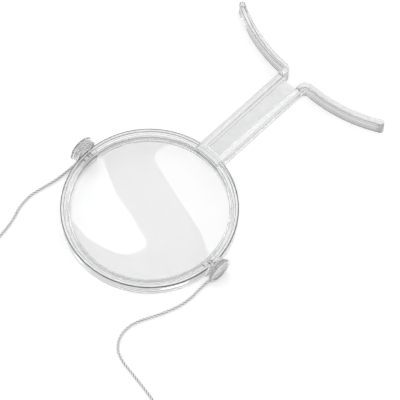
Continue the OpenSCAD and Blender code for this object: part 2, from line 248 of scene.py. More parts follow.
left_route = [(-wind_x, -4, exit_z), (-61.4, -9, 1.1), (-61.6, -16, lie_z), (-62.4, -26, lie_z),
              (-64.4, -36, lie_z), (-65.9, -46, lie_z), (-64.8, -56, lie_z), (-61.4, -66, lie_z),
              (-59, -78, lie_z), (-58.6, -90, lie_z), (-59.4, -102, lie_z), (-60.3, -114, lie_z),
              (coil_x - coil_out_r, coil_y + 4, coil_z)]
right_route = [(wind_x, -4, exit_z), (61.4, -9, 1.1), (61.3, -16, lie_z), (61.8, -24, lie_z),
               (60.5, -33.5, lie_z), (57.7, -42, lie_z), (53.9, -50.8, lie_z), (50, -59, lie_z),
               (47.9, -67, lie_z), (48.9, -76, lie_z), (54.2, -83.6, lie_z), (62.5, -87.4, lie_z),
               (74, -89.3, lie_z), (86, -91.3, lie_z), (96, -93.4, lie_z), (102, -96.8, lie_z),
               (103.8, -102, lie_z), (101.4, -107.6, lie_z), (95, -113.5, lie_z), (83, -124.2, lie_z),
               (71, -135, lie_z), (59, -145.8, lie_z), (47, -156.5, lie_z), (38, -164, lie_z),
               (31, -168.6, lie_z), (23, -170, lie_z), (12, -166.3, lie_z), (0, -161, lie_z),
               (-13, -155.5, lie_z), (-26, -150.2, lie_z), (-32.5, -147.4, 1.2), (-38, -145, 2.2),
               (-43.6, -142.7, 3.6)]
route = (bobbin_turns(-1) + left_route + coil_points() + right_route[::-1] + bobbin_turns(1)[::-1])


def smooth_route(points, step):
    """Points of a smooth curve through points, evenly spaced about step apart."""
    points = [Vector(p) for p in points]
    fine = []
    for i in range(len(points) - 1):
        a, b = points[max(i - 1, 0)], points[i]
        c, d = points[i + 1], points[min(i + 2, len(points) - 1)]
        pieces = max(2, math.ceil((c - b).length / step * 2))
        for k in range(pieces):
            t = k / pieces
            fine.append(0.5 * (2 * b + (c - a) * t + (2 * a - 5 * b + 4 * c - d) * t * t
                               + (3 * b - a - 3 * c + d) * t * t * t))
    fine.append(points[-1])
    along = [0.0]
    for a, b in zip(fine, fine[1:]):
        along.append(along[-1] + (b - a).length)
    count = round(along[-1] / step)
    even, k = [], 0
    for i in range(count + 1):
        target = along[-1] * i / count
        while k < len(along) - 2 and along[k + 1] < target:
            k += 1
        share = (target - along[k]) / max(along[k + 1] - along[k], 1e-9)
        even.append(fine[k].lerp(fine[k + 1], min(share, 1)))
    return even, along[-1]


route_step = 0.55
centre_line, cord_length = smooth_route(route, route_step)
centre_line = [Vector((p.x, p.y, p.z)) * mm + Vector((0, ring_y, 0)) for p in centre_line]
cord_length *= mm

strands = 3
strand_sides = 8
strand_r = 0.24 * cord_d
strand_off = cord_d / 2 - strand_r
lay = 7.2 * mm
ways = [(centre_line[min(i + 1, len(centre_line) - 1)] - centre_line[max(i - 1, 0)]).normalized()
        for i in range(len(centre_line))]
side = ways[0].cross(Vector((1, 0, 0))).normalized()
verts, faces, strand_marks = [], [], []
rings = len(centre_line)
frames = []
for point, way in zip(centre_line, ways):
    side = (side - side.dot(way) * way).normalized()
    frames.append((point, side, way.cross(side)))
for strand in range(strands):
    first = len(verts)
    for i, (point, side, other) in enumerate(frames):
        turned = 2 * math.pi * (i * route_step * mm / lay + strand / strands)
        out = math.cos(turned) * side + math.sin(turned) * other
        round_it = out.cross(ways[i])
        for k in range(strand_sides):
            angle = 2 * math.pi * k / strand_sides
            verts.append(point + strand_off * out
                         + strand_r * (math.cos(angle) * out + math.sin(angle) * round_it))
            strand_marks.append((k / strand_sides, i * route_step * mm))
    for i in range(rings - 1):
        for k in range(strand_sides):
            a, b = first + i * strand_sides + k, first + i * strand_sides + (k + 1) % strand_sides
            faces.append((a, b, b + strand_sides, a + strand_sides))
    faces.append([first + k for k in range(strand_sides)][::-1])
    faces.append([first + (rings - 1) * strand_sides + k for k in range(strand_sides)])
mesh = bpy.data.meshes.new("neck_cord")
mesh.from_pydata(verts, [], faces)
uv = mesh.uv_layers.new(name="fibres")
for face in mesh.polygons:
    around = [strand_marks[mesh.loops[i].vertex_index][0] for i in face.loop_indices]
    wraps = max(around) - min(around) > 0.5
    for i in face.loop_indices:
        u, v = strand_marks[mesh.loops[i].vertex_index]
        uv.data[i].uv = (u + 1 if wraps and u < 0.5 else u, v / mm)
neck_cord = bpy.data.objects.new("neck_cord", mesh)
bpy.context.scene.collection.objects.link(neck_cord)
clear_selection()
neck_cord.select_set(True)
bpy.context.view_layer.objects.active = neck_cord
bpy.ops.object.mode_set(mode="EDIT")
bpy.ops.mesh.select_all(action="SELECT")
bpy.ops.mesh.normals_make_consistent(inside=False)
bpy.ops.object.mode_set(mode="OBJECT")
bpy.ops.object.shade_smooth()


def ramp(nodes, links, value, start, end, low=0.0, high=1.0):
    """A value carried from start..end to low..high, and held there."""
    node = nodes.new("ShaderNodeMapRange")
    for name, number in zip(("From Min", "From Max", "To Min", "To Max"), (start, end, low, high)):
        node.inputs[name].default_value = number
    links.new(value, node.inputs["Value"])
    return node.outputs["Result"]


material, nodes, links, output = new_material("silver_twist")
fibre_map = nodes.new("ShaderNodeUVMap")
fibre_map.uv_map = "fibres"
fibre_lean = nodes.new("ShaderNodeMapping")
fibre_lean.inputs["Rotation"].default_value = (0, 0, math.radians(32))
fibre_lean.inputs["Scale"].default_value = (9, 2.6, 1)
links.new(fibre_map.outputs["UV"], fibre_lean.inputs["Vector"])
fibres = nodes.new("ShaderNodeTexWave")
fibres.inputs["Scale"].default_value = 1.1
fibres.inputs["Distortion"].default_value = 1.6
fibres.inputs["Detail"].default_value = 3
links.new(fibre_lean.outputs["Vector"], fibres.inputs["Vector"])
cord_place = nodes.new("ShaderNodeTexCoord")
grime = nodes.new("ShaderNodeTexNoise")
grime.inputs["Scale"].default_value = 160
grime.inputs["Detail"].default_value = 4
links.new(cord_place.outputs["Object"], grime.inputs["Vector"])
shades = nodes.new("ShaderNodeValToRGB")
shades.color_ramp.elements[0].color = (0.96, 0.96, 0.96, 1)
shades.color_ramp.elements[1].color = (0.99, 0.99, 0.985, 1)
blend = math_node(nodes, links, "ADD", math_node(nodes, links, "MULTIPLY", fibres.outputs["Fac"], 0.6),
                  math_node(nodes, links, "MULTIPLY", grime.outputs["Fac"], 0.45))
links.new(blend, shades.inputs["Fac"])
split_uv = nodes.new("ShaderNodeSeparateXYZ")
links.new(fibre_map.outputs["UV"], split_uv.inputs[0])
facing_out = math_node(nodes, links, "COSINE", math_node(
    nodes, links, "MULTIPLY", split_uv.outputs["X"], 2 * math.pi), 0)
# Painted shade: each strand's colour darkens on the side that turns in towards the grooves between the
# strands.
groove_from, groove_to, painted_groove_darkest = -0.25, 0.2, 0.05
painted_groove_shade = ramp(nodes, links, facing_out, groove_from, groove_to, painted_groove_darkest, 1.0)
painted_groove_colour = mix_colours(nodes, links, shades.outputs["Color"], painted_groove_shade, 1, blend="MULTIPLY")
twist = nodes.new("ShaderNodeBsdfPrincipled")
twist.inputs["Roughness"].default_value = 0.42
twist.inputs["Sheen Weight"].default_value = 0.3
twist.inputs["Subsurface Weight"].default_value = 0.6
twist.inputs["Subsurface Radius"].default_value = (1, 1, 1)
twist.inputs["Subsurface Scale"].default_value = 0.2 * mm
links.new(painted_groove_colour, twist.inputs["Base Color"])
fibre_bump = nodes.new("ShaderNodeBump")
fibre_bump.inputs["Strength"].default_value = 0.5
fibre_bump.inputs["Distance"].default_value = 0.08 * mm
links.new(fibres.outputs["Fac"], fibre_bump.inputs["Height"])
links.new(fibre_bump.outputs["Normal"], twist.inputs["Normal"])
links.new(twist.outputs[0], output.inputs["Surface"])
neck_cord.data.materials.append(material)
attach(neck_cord, "frame")
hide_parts("left_cord", "cord_coil", "right_cord", "left_winding", "right_winding")

# Coil tie
# A flat band of white plastic is closed round all the turns of the coil, with a little play on each side,
# and keeps them together on the table.
tie_width, tie_thick, tie_low, tie_turned, cord_play = 4.0, 0.4, 0.05, 20, 0.3
coil_half_wide = (coil_out_r - coil_in_r) / 2 + cord_d / mm / 2 + cord_play
coil_high = turn_pitch + cord_d / mm + 2 * cord_play


def rounded(corners, bends=5):
    """Points of a closed outline whose corners, given as (x, y, radius), are rounded."""
    points = []
    for i, (x, y, radius) in enumerate(corners):
        corner = Vector((x, y))
        before = (Vector(corners[i - 1][:2]) - corner).normalized()
        after = (Vector(corners[(i + 1) % len(corners)][:2]) - corner).normalized()
        if radius == 0:
            points.append(corner)
            continue
        half = before.angle(after) / 2
        centre = corner + (before + after).normalized() * radius / math.sin(half)
        start = corner + before * radius / math.tan(half) - centre
        end = corner + after * radius / math.tan(half) - centre
        swing = math.pi - 2 * half
        for k in range(bends + 1):
            share = k / bends
            points.append(centre + (start * math.sin((1 - share) * swing) + end * math.sin(share * swing))
                          / math.sin(swing))
    return points


def drawn(name, points, closed=True):
    """A wire outline in space, drawn by extruding one vertex from point to point."""
    clear_selection()
    bpy.ops.mesh.primitive_plane_add(size=mm, location=(0, 0, 0))
    piece = bpy.context.object
    piece.name = piece.data.name = name
    bpy.ops.object.mode_set(mode="EDIT")
    bpy.ops.mesh.select_mode(type="VERT")
    bpy.ops.mesh.select_all(action="SELECT")
    bpy.ops.mesh.merge(type="CENTER")
    bpy.ops.transform.translate(value=points[0])
    stops = list(points) + ([points[0]] if closed else [])
    for a, b in zip(stops, stops[1:]):
        bpy.ops.mesh.extrude_region_move(TRANSFORM_OT_translate={"value": Vector(b) - Vector(a)})
    bpy.ops.mesh.select_all(action="SELECT")
    bpy.ops.mesh.remove_doubles(threshold=0.001 * mm)
    bpy.ops.object.mode_set(mode="OBJECT")
    return piece


def edit(piece):
    clear_selection()
    piece.select_set(True)
    bpy.context.view_layer.objects.active = piece
    bpy.ops.object.mode_set(mode="EDIT")
    bpy.ops.mesh.select_mode(type="VERT")


def closed_up(piece, smooth=35):
    """Doubles merged, faces turned outwards and round surfaces shaded smooth."""
    edit(piece)
    bpy.ops.mesh.select_all(action="SELECT")
    bpy.ops.mesh.remove_doubles(threshold=0.001 * mm)
    bpy.ops.mesh.normals_make_consistent(inside=False)
    bpy.ops.object.mode_set(mode="OBJECT")
    bpy.ops.object.shade_smooth_by_angle(angle=math.radians(smooth))
    return piece


def apply_modifier(piece, kind, **settings):
    clear_selection()
    piece.select_set(True)
    bpy.context.view_layer.objects.active = piece
    modifier = piece.modifiers.new(kind.lower(), kind)
    for key, value in settings.items():
        setattr(modifier, key, value)
    bpy.ops.object.modifier_apply(modifier=modifier.name)


def flat_faces(piece):
    """Large flat faces shaded flat, with the turn kept to the small roundings between them."""
    apply_modifier(piece, "WEIGHTED_NORMAL", mode="FACE_AREA", weight=100, keep_sharp=True)


def extruded(name, outline, along):
    """A flat outline of points in space, filled and drawn out by a vector."""
    piece = drawn(name, outline)
    edit(piece)
    bpy.ops.mesh.select_all(action="SELECT")
    bpy.ops.mesh.edge_face_add()
    bpy.ops.mesh.extrude_region_move(TRANSFORM_OT_translate={"value": along})
    bpy.ops.object.mode_set(mode="OBJECT")
    return closed_up(piece)


def join_or_cut(piece, tool, operation):
    apply_modifier(piece, "BOOLEAN", operation=operation, solver="EXACT", object=tool)
    bpy.data.objects.remove(tool)


tie_at = Vector((coil_x, coil_y, 0)) * mm + Vector((0, ring_y, 0))
tie_place = Matrix.Translation(tie_at) @ Matrix.Rotation(math.radians(tie_turned), 4, "Z")


def on_tie(x, y, z):
    return tie_place @ (Vector((x, y, z)) * mm)


def band_outline(half_wide, low, high, corner, back):
    x = coil_mid_r
    corners = [(x - half_wide, low, corner), (x + half_wide, low, corner),
               (x + half_wide, high, corner), (x - half_wide, high, corner)]
    return [on_tie(p.x, back, p.y) for p in rounded(corners, 8)]


tie_run = tie_place.to_3x3() @ Vector((0, tie_width * mm, 0))
coil_tie = extruded("cord_tie_strip", band_outline(
    coil_half_wide + tie_thick, tie_low, tie_low + tie_thick + coil_high, 1.0, -2), tie_run)
hollow = extruded("tie_hollow", band_outline(
    coil_half_wide, tie_low + tie_thick, tie_low + coil_high, 0.6, -3), tie_run * 1.5)
join_or_cut(coil_tie, hollow, "DIFFERENCE")
apply_modifier(coil_tie, "BEVEL", width=0.1 * mm, segments=2, limit_method="ANGLE",
               angle_limit=math.radians(50))
closed_up(coil_tie, 30)

material, nodes, links, output = new_material("white_strip")
tie_skin = nodes.new("ShaderNodeBsdfPrincipled")
tie_skin.inputs["Base Color"].default_value = (0.82, 0.82, 0.8, 1)
tie_skin.inputs["Subsurface Weight"].default_value = 0.15
place = nodes.new("ShaderNodeTexCoord")
mould = nodes.new("ShaderNodeTexNoise")
mould.inputs["Scale"].default_value = 900
links.new(place.outputs["Object"], mould.inputs["Vector"])
links.new(ramp(nodes, links, mould.outputs["Fac"], 0, 1, 0.28, 0.48), tie_skin.inputs["Roughness"])
links.new(tie_skin.outputs[0], output.inputs["Surface"])
coil_tie.data.materials.append(material)
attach(coil_tie, "frame")
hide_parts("coil_tie")

# Lens
# A disc of clear acrylic, flatter below than above, polished all over. It lies loose in the ring's pocket.
lens_r, lens_edge_t, lens_top_rise, lens_base_rise = 53.4, 2.0, 3.7, 1.0
rim_depth = 3.8
rim_mm = rim_z / mm
lens_level = rim_mm - rim_depth - lens_edge_t / 2
round_steps = 288


def on_lens_axis(r, z):
    return Vector((r * mm, ring_y, z * mm))


def turned(name, points, centre, axis, closed, steps=round_steps, smooth=35):
    """A turned piece, its half outline drawn in space and spun once round the axis."""
    piece = drawn(name, points, closed)
    edit(piece)
    bpy.ops.mesh.select_all(action="SELECT")
    bpy.ops.mesh.spin(steps=steps, angle=2 * math.pi, center=centre, axis=axis)
    bpy.ops.object.mode_set(mode="OBJECT")
    return closed_up(piece, smooth)


def round_lens_axis(name, outline, closed=True, **more):
    return turned(name, [on_lens_axis(r, z) for r, z in outline], lens_spot, (0, 0, 1), closed, **more)


def cap(rise, level, rows=28):
    """Points from the lens's middle to its edge on one of its faces."""
    sphere_r = (lens_r ** 2 + rise ** 2) / (2 * abs(rise))
    points = []
    for i in range(rows + 1):
        r = lens_r * i / rows
        sag = math.sqrt(sphere_r ** 2 - r ** 2) - (sphere_r - abs(rise))
        points.append((r, level + math.copysign(sag, rise)))
    return points


lens_outline = (cap(-lens_base_rise, lens_level - lens_edge_t / 2)
                + cap(lens_top_rise, lens_level + lens_edge_t / 2)[::-1])
lens = round_lens_axis("acrylic_lens", lens_outline, closed=False)


def clear_plastic(name, tint, gloss, haze, ripple, painted_wall_tint=None, painted_edge_tint=1.0, unshaded_axis="Z", cast=0.975):
    """Clear moulded plastic that lets most light on to the table, with a faint haze and flow marks. Its walls
    that don't face along the chosen axis are given a darker colour as painted shade, and its rounded edges
    may get darker painted shade still."""
    material, nodes, links, output = new_material(name)
    body = nodes.new("ShaderNodeBsdfPrincipled")
    body.inputs["Base Color"].default_value = (*tint, 1)
    body.inputs["Transmission Weight"].default_value = 1
    body.inputs["IOR"].default_value = 1.49
    place = nodes.new("ShaderNodeTexCoord")
    flow = nodes.new("ShaderNodeTexNoise")
    flow.inputs["Scale"].default_value = 55
    flow.inputs["Detail"].default_value = 3
    links.new(place.outputs["Object"], flow.inputs["Vector"])
    hazed = math_node(nodes, links, "MULTIPLY", flow.outputs["Fac"], haze)
    links.new(math_node(nodes, links, "ADD", hazed, gloss), body.inputs["Roughness"])
    wave = nodes.new("ShaderNodeBump")
    wave.inputs["Strength"].default_value = ripple
    wave.inputs["Distance"].default_value = 0.2 * mm
    links.new(flow.outputs["Fac"], wave.inputs["Height"])
    links.new(wave.outputs["Normal"], body.inputs["Normal"])
    # Painted shade: faces turned away from the chosen axis get a darker colour, and the rounded edges between
    # them darker still.
    if painted_wall_tint is not None:
        lean = nodes.new("ShaderNodeSeparateXYZ")
        links.new(place.outputs["Normal"], lean.inputs[0])
        facing = math_node(nodes, links, "ABSOLUTE", lean.outputs[unshaded_axis], 0)
        painted_wall_share = ramp(nodes, links, facing, 0.85, 0.35)
        edge = math_node(nodes, links, "MULTIPLY", ramp(nodes, links, facing, 0.05, 0.3),
                         ramp(nodes, links, facing, 0.99, 0.85, 0.0, 1 - painted_edge_tint))
        walls = mix_colours(nodes, links, (*tint, 1), (painted_wall_tint, painted_wall_tint, painted_wall_tint, 1), painted_wall_share, "walls")
        links.new(mix_colours(nodes, links, walls, black, edge, "edges"), body.inputs["Base Color"])
    passing = nodes.new("ShaderNodeBsdfTransparent")
    passing.inputs["Color"].default_value = (cast, cast, cast, 1)
    shade = nodes.new("ShaderNodeMixShader")
    path = nodes.new("ShaderNodeLightPath")
    links.new(path.outputs["Is Shadow Ray"], shade.inputs["Fac"])
    links.new(body.outputs[0], shade.inputs[1])
    links.new(passing.outputs[0], shade.inputs[2])
    links.new(shade.outputs[0], output.inputs["Surface"])
    return material


acrylic = clear_plastic("polished_acrylic", (0.95, 0.95, 0.95), 0.0, 0.01, 0.0)
lens.data.materials.append(acrylic)
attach(lens, "frame")
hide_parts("lens")

# Lens ring
# A moulded band of clear plastic. It has a lip over the lens, a pocket and a wider seat below, and an open
# groove round its top. A block at each side bridges the groove and takes a knob's stud.
lens_play, lip_over, lip_wide, groove_wide, groove_deep, outer_wall = 0.25, 1.1, 1.5, 2.4, 2.6, 2.5
ring_high_mm, seat_step, corner = 9.4, 1.8, 0.6
base_mm = rim_mm - ring_high_mm
lip_in_r = lens_r - lip_over
lip_out_r = lip_in_r + lip_wide
wall_in_r = lip_out_r + groove_wide
ring_r = wall_in_r + outer_wall
pocket_r = lens_r + lens_play
seat_r = pocket_r + seat_step
groove_z = rim_mm - groove_deep
lip_z = lens_level + lens_edge_t / 2 + lens_play
seat_z = lens_level - lens_edge_t / 2 - lens_play
ring_corners = [(lip_in_r, lip_z, 0.15), (lip_in_r, rim_mm, 0.4), (lip_out_r, rim_mm, 0.4),
                (lip_out_r, groove_z, 0.3), (wall_in_r, groove_z, 0.3), (wall_in_r, rim_mm, 0.4),
                (ring_r, rim_mm, corner), (ring_r, base_mm, corner), (seat_r, base_mm, 0.2),
                (seat_r, seat_z, 0.1), (pocket_r, seat_z, 0.15), (pocket_r, lip_z, 0.1)]
lens_ring = round_lens_axis("ring_band", [tuple(p) for p in rounded(ring_corners)])

boss_wide, boss_high, boss_end = 10.0, 8.5, ring_r + 0.7
stud_hole_r, stud_hole_x = 1.58, 54.4


def block(name, x, y, z, bevel=0.0):
    """A box between low and high pairs, counted from the lens's axis, with its edges rounded."""
    clear_selection()
    middle = Vector([(low + high) / 2 for low, high in (x, y, z)]) * mm + Vector((0, ring_y, 0))
    bpy.ops.mesh.primitive_cube_add(size=1, location=(0, 0, 0))
    piece = bpy.context.object
    piece.name = piece.data.name = name
    bpy.ops.object.mode_set(mode="EDIT")
    bpy.ops.mesh.select_mode(type="VERT")
    bpy.ops.mesh.select_all(action="SELECT")
    bpy.ops.transform.resize(value=[(high - low) * mm for low, high in (x, y, z)])
    bpy.ops.transform.translate(value=middle)
    if bevel:
        bpy.ops.mesh.bevel(offset=bevel * mm, segments=4, affect="EDGES")
    bpy.ops.object.mode_set(mode="OBJECT")
    return piece


def span(side, near, far):
    return tuple(sorted((side * near, side * far)))


def round_knob_axis(name, outline, side, closed=True, steps=96, **more):
    """A turned piece on the knobs' axis, its outline given as (distance along, radius)."""
    points = [Vector((side * x * mm, ring_y, (knob_z + r) * mm)) for x, r in outline]
    return turned(name, points, (0, ring_y, knob_z * mm), (1, 0, 0), closed, steps=steps, **more)


for way_out in (1, -1):
    half_wide = boss_wide / 2
    bridge = block("bridge", span(way_out, lip_out_r - 0.7, wall_in_r + 1.2), (-half_wide, half_wide),
                   (groove_z - 0.1, rim_mm))
    join_or_cut(lens_ring, bridge, "UNION")
    outer = block("boss", span(way_out, wall_in_r + 0.9, boss_end), (-half_wide, half_wide),
                  (rim_mm - boss_high, rim_mm), bevel=0.5)
    join_or_cut(lens_ring, outer, "UNION")
    hole = round_knob_axis("hole", [(stud_hole_x, 0), (stud_hole_x, stud_hole_r), (boss_end + 1, stud_hole_r),
                                    (boss_end + 1, 0)], way_out, closed=False, steps=48)
    join_or_cut(lens_ring, hole, "DIFFERENCE")

arm_wide, joint_play = 20.0, 0.05
half_notch = arm_wide / 2 + joint_play
notch = block("notch", (-half_notch, half_notch), (lip_in_r - 5, ring_r + 5), (groove_z, rim_mm + 5))
inside = round_lens_axis("inside", [(0, 0), (lip_out_r, 0), (lip_out_r, 20), (0, 20)], closed=False)
join_or_cut(notch, inside, "DIFFERENCE")
join_or_cut(lens_ring, notch, "DIFFERENCE")
closed_up(lens_ring, 30)
flat_faces(lens_ring)
# Painted shade: the band's faces that turn sideways are a little darker in colour.
clear_mould = clear_plastic("clear_moulding", (0.965, 0.97, 0.965), 0.01, 0.03, 0.02, painted_wall_tint=0.93)
# The lip's inner face and the edges of the rim are given dark lines of painted shade: start and width of
# each, its lowest level and how much it darkens the colour.
painted_edge_lines = ((lip_in_r - 0.1, 0.4, lip_z, 0.6), (lip_out_r - 0.45, 0.5, rim_mm - 0.6, 0.4),
              (wall_in_r - 0.05, 0.5, rim_mm - 0.6, 0.88), (ring_r - 0.9, 1.0, rim_mm - 0.75, 0.98))
nodes, links = clear_mould.node_tree.nodes, clear_mould.node_tree.links
place = nodes.new("ShaderNodeTexCoord")
from_axis = nodes.new("ShaderNodeMapping")
from_axis.inputs["Location"].default_value = (0, -ring_y, 0)
from_axis.inputs["Scale"].default_value = (1, 1, 0)
links.new(place.outputs["Object"], from_axis.inputs["Vector"])
reach = nodes.new("ShaderNodeVectorMath")
reach.operation = "LENGTH"
links.new(from_axis.outputs["Vector"], reach.inputs[0])
level = nodes.new("ShaderNodeSeparateXYZ")
links.new(place.outputs["Object"], level.inputs[0])
painted_line_darkening = 0
for start, width, lowest, share in painted_edge_lines:
    off_middle = math_node(nodes, links, "ABSOLUTE", math_node(
        nodes, links, "SUBTRACT", reach.outputs["Value"], (start + width / 2) * mm), 0)
    band = ramp(nodes, links, off_middle, width / 2 * mm, width / 4 * mm, 0.0, share)
    band = math_node(nodes, links, "MULTIPLY", band, math_node(
        nodes, links, "GREATER_THAN", level.outputs["Z"], lowest * mm))
    painted_line_darkening = math_node(nodes, links, "MAXIMUM", painted_line_darkening, band)
links.new(mix_colours(nodes, links, nodes["edges"].outputs["Result"], black, painted_line_darkening),
          nodes["Principled BSDF"].inputs["Base Color"])
lens_ring.data.materials.append(clear_mould)
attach(lens_ring, "frame")
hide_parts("lens_ring")

# Retaining ring
# A turned ring of the same plastic is pressed into the seat from below and holds the lens up in its
# pocket. Three notches in its underside take a spanner.
seat_sink, seat_play, edge_break, air_film = 0.3, 0.05, 0.4, 0.03
keeper_low, keeper_r = base_mm + seat_sink, seat_r - seat_play
keeper = round_lens_axis("lens_keeper_ring", [tuple(p) for p in rounded(
    [(lip_in_r, keeper_low, 0.25), (lip_in_r, seat_z - air_film, 0.15), (keeper_r, seat_z - air_film, 0.1),
     (keeper_r, keeper_low + edge_break, 0), (keeper_r - edge_break, keeper_low, 0)])])
notch_wide, notch_deep = 6.0, 1.2
for angle in (30, 150, 270):
    bite = block("bite", (lip_in_r - 2, (lip_in_r + seat_r) / 2), (-notch_wide / 2, notch_wide / 2),
                 (keeper_low - 1, keeper_low + notch_deep))
    edit(bite)
    bpy.ops.mesh.select_all(action="SELECT")
    bpy.ops.transform.rotate(value=-math.radians(angle), orient_axis="Z", center_override=(0, ring_y, 0))
    bpy.ops.object.mode_set(mode="OBJECT")
    join_or_cut(keeper, bite, "DIFFERENCE")
closed_up(keeper, 30)
flat_faces(keeper)
keeper.data.materials.append(clear_plastic("clear_turned_ring", (0.97, 0.975, 0.97), 0.01, 0.03, 0.02))
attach(keeper, "frame")
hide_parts("retaining_ring")

# Chest stand
# An open channel of clear plastic runs out from the ring. Its walls part, bend round to both sides and
# become two curved legs that rest on the chest. A tongue at its root fills the notch in the ring's rim.
arm_wall, arm_floor, floor_end, end_wall = 4.1, 2.0, 134.5, 1.0
bend_r, leg_r, leg_far_y, leg_tip_x = 1.9, 104.0, 141.9, 64.4
root_y, end_y = 50.0, ring_r + end_wall - 0.15
channel_half = arm_wide / 2 - arm_wall
bend_x, bend_y = arm_wide / 2 + bend_r, leg_far_y - bend_r - arm_wall
arc_y, arc_mid_r = leg_far_y + leg_r, leg_r + arm_wall / 2
leg_turn = math.asin((leg_tip_x - bend_x) / arc_mid_r)
tip_y = arc_y - arc_mid_r * math.cos(leg_turn)


def here(x, y, z):
    return Vector((x * mm, y * mm + ring_y, z * mm))


def select_where(piece, kind, test, among=False):
    """Only the faces, edges or vertices, of all or among those selected, whose corners pass a test. The
    corners are in millimetres from the lens's axis."""
    bpy.ops.mesh.select_mode(type=kind)
    if not among:
        bpy.ops.mesh.select_all(action="SELECT")
    bpy.ops.object.mode_set(mode="OBJECT")
    mesh = piece.data
    parts = {"VERT": mesh.vertices, "EDGE": mesh.edges, "FACE": mesh.polygons}[kind]
    chosen = []
    for part in parts:
        corners = [part.co] if kind == "VERT" else [mesh.vertices[i].co for i in part.vertices]
        if part.select and test([(p.x / mm, (p.y - ring_y) / mm, p.z / mm) for p in corners]):
            chosen.append(part.index)
    bpy.ops.object.mode_set(mode="EDIT")
    bpy.ops.mesh.select_all(action="DESELECT")
    bpy.ops.object.mode_set(mode="OBJECT")
    for i in chosen:
        parts[i].select = True
    bpy.ops.object.mode_set(mode="EDIT")


def near(a, b):
    return abs(a - b) < 0.01


clear_selection()
bpy.ops.mesh.primitive_plane_add(size=mm, location=(0, 0, 0))
stand = bpy.context.object
stand.name = stand.data.name = "arm_and_legs"
bpy.ops.object.mode_set(mode="EDIT")
bpy.ops.mesh.select_all(action="SELECT")
bpy.ops.transform.resize(value=(channel_half, arm_floor, 1))
bpy.ops.object.mode_set(mode="OBJECT")
for vertex in stand.data.vertices:
    right, up = vertex.co.x > 0, vertex.co.y > 0
    vertex.co = here(channel_half * right, root_y, base_mm + arm_floor * up)
edit(stand)
select_where(stand, "EDGE", lambda spots: all(near(x, channel_half) for x, y, z in spots))
bpy.ops.mesh.extrude_region_move(TRANSFORM_OT_translate={"value": (arm_wall * mm, 0, 0)})
select_where(stand, "EDGE", lambda spots: all(near(z, base_mm + arm_floor) for x, y, z in spots))
wall_high = rim_mm - base_mm - arm_floor
bpy.ops.mesh.extrude_region_move(TRANSFORM_OT_translate={"value": (0, 0, wall_high * mm)})
bpy.ops.mesh.select_mode(type="FACE")
bpy.ops.mesh.select_all(action="SELECT")
bpy.ops.mesh.extrude_region_move(TRANSFORM_OT_translate={"value": (0, (end_y - root_y) * mm, 0)})
select_where(stand, "FACE", lambda spots: all(near(y, end_y) for x, y, z in spots)
             and not all(x < channel_half + 0.01 and z > base_mm + arm_floor - 0.01 for x, y, z in spots))
bpy.ops.mesh.extrude_region_move(TRANSFORM_OT_translate={"value": (0, (floor_end - end_y) * mm, 0)})
select_where(stand, "FACE", lambda spots: all(near(y, floor_end) and x > channel_half - 0.01
                                              for x, y, z in spots))
bpy.ops.mesh.extrude_region_move(TRANSFORM_OT_translate={"value": (0, (bend_y - floor_end) * mm, 0)})
select_where(stand, "VERT", lambda spots: near(spots[0][1], bend_y) and near(spots[0][2], base_mm))
bpy.ops.transform.translate(value=(0, 0, -base_mm * mm))
select_where(stand, "FACE", lambda spots: all(near(y, bend_y) for x, y, z in spots))
bpy.ops.mesh.spin(steps=20, angle=math.pi / 2, center=here(bend_x, bend_y, 0), axis=(0, 0, 1))
select_where(stand, "FACE", lambda spots: all(near(x, bend_x) and y > bend_y for x, y, z in spots))
bpy.ops.mesh.spin(steps=48, angle=leg_turn, center=here(bend_x, arc_y, 0), axis=(0, 0, -1))
bpy.ops.object.mode_set(mode="OBJECT")


def at_tip(x, y):
    """Distance along the leg past the tip's middle, and across it."""
    dx, dy = x - leg_tip_x, y - tip_y
    return (dx * math.cos(leg_turn) + dy * math.sin(leg_turn),
            dy * math.cos(leg_turn) - dx * math.sin(leg_turn))


edit(stand)
select_where(stand, "EDGE", lambda spots: all(
    near(at_tip(x, y)[0], 0) and near(at_tip(x, y)[1], -arm_wall / 2) for x, y, z in spots))
bpy.ops.mesh.spin(steps=24, angle=math.pi, center=here(leg_tip_x, tip_y, 0), axis=(0, 0, -1))
bpy.ops.mesh.select_all(action="SELECT")
bpy.ops.mesh.remove_doubles(threshold=0.001 * mm)
select_where(stand, "FACE", lambda spots: all(near(at_tip(x, y)[0], 0) for x, y, z in spots))
bpy.ops.mesh.delete(type="FACE")
select_where(stand, "FACE", lambda spots: all(near(x, 0) for x, y, z in spots))
bpy.ops.mesh.delete(type="FACE")
select_where(stand, "EDGE", lambda spots: all(at_tip(x, y)[0] > -0.01 and near(z, spots[0][2])
                                              for x, y, z in spots))
bpy.ops.mesh.fill_holes(sides=0)
bpy.ops.object.mode_set(mode="OBJECT")
apply_modifier(stand, "MIRROR", use_mirror_merge=True, merge_threshold=0.001 * mm)
closed_up(stand)

mould_round = 0.6
edit(stand)
bpy.ops.mesh.select_all(action="SELECT")
bpy.ops.mesh.remove_doubles(threshold=0.002 * mm)
bpy.ops.mesh.dissolve_limited(angle_limit=math.radians(0.5))
bpy.ops.object.mode_set(mode="OBJECT")
ring_space = round_lens_axis("ring_space", [
    (0, -5), (ring_r + joint_play, -5), (ring_r + joint_play, groove_z + joint_play),
    (lip_out_r + joint_play, groove_z + joint_play), (lip_out_r + joint_play, 20), (0, 20)], closed=False)
join_or_cut(stand, ring_space, "DIFFERENCE")


def takes_rounding(spots):
    """Whether a sharp edge is on the outside of the moulding, away from the joint and the inner corners."""
    joint = any(math.hypot(x, y) < ring_r + 0.2 for x, y, z in spots)
    floor_line = all(near(abs(x), channel_half) and z < base_mm + arm_floor + 0.01 for x, y, z in spots)
    end_corner = all(near(abs(x), channel_half) and near(y, end_y) for x, y, z in spots)
    end_line = all(near(z, base_mm + arm_floor) and near(y, end_y) for x, y, z in spots)
    step_line = all(near(z, base_mm) and near(y, floor_end) for x, y, z in spots)
    return not (joint or floor_line or end_corner or end_line or step_line)


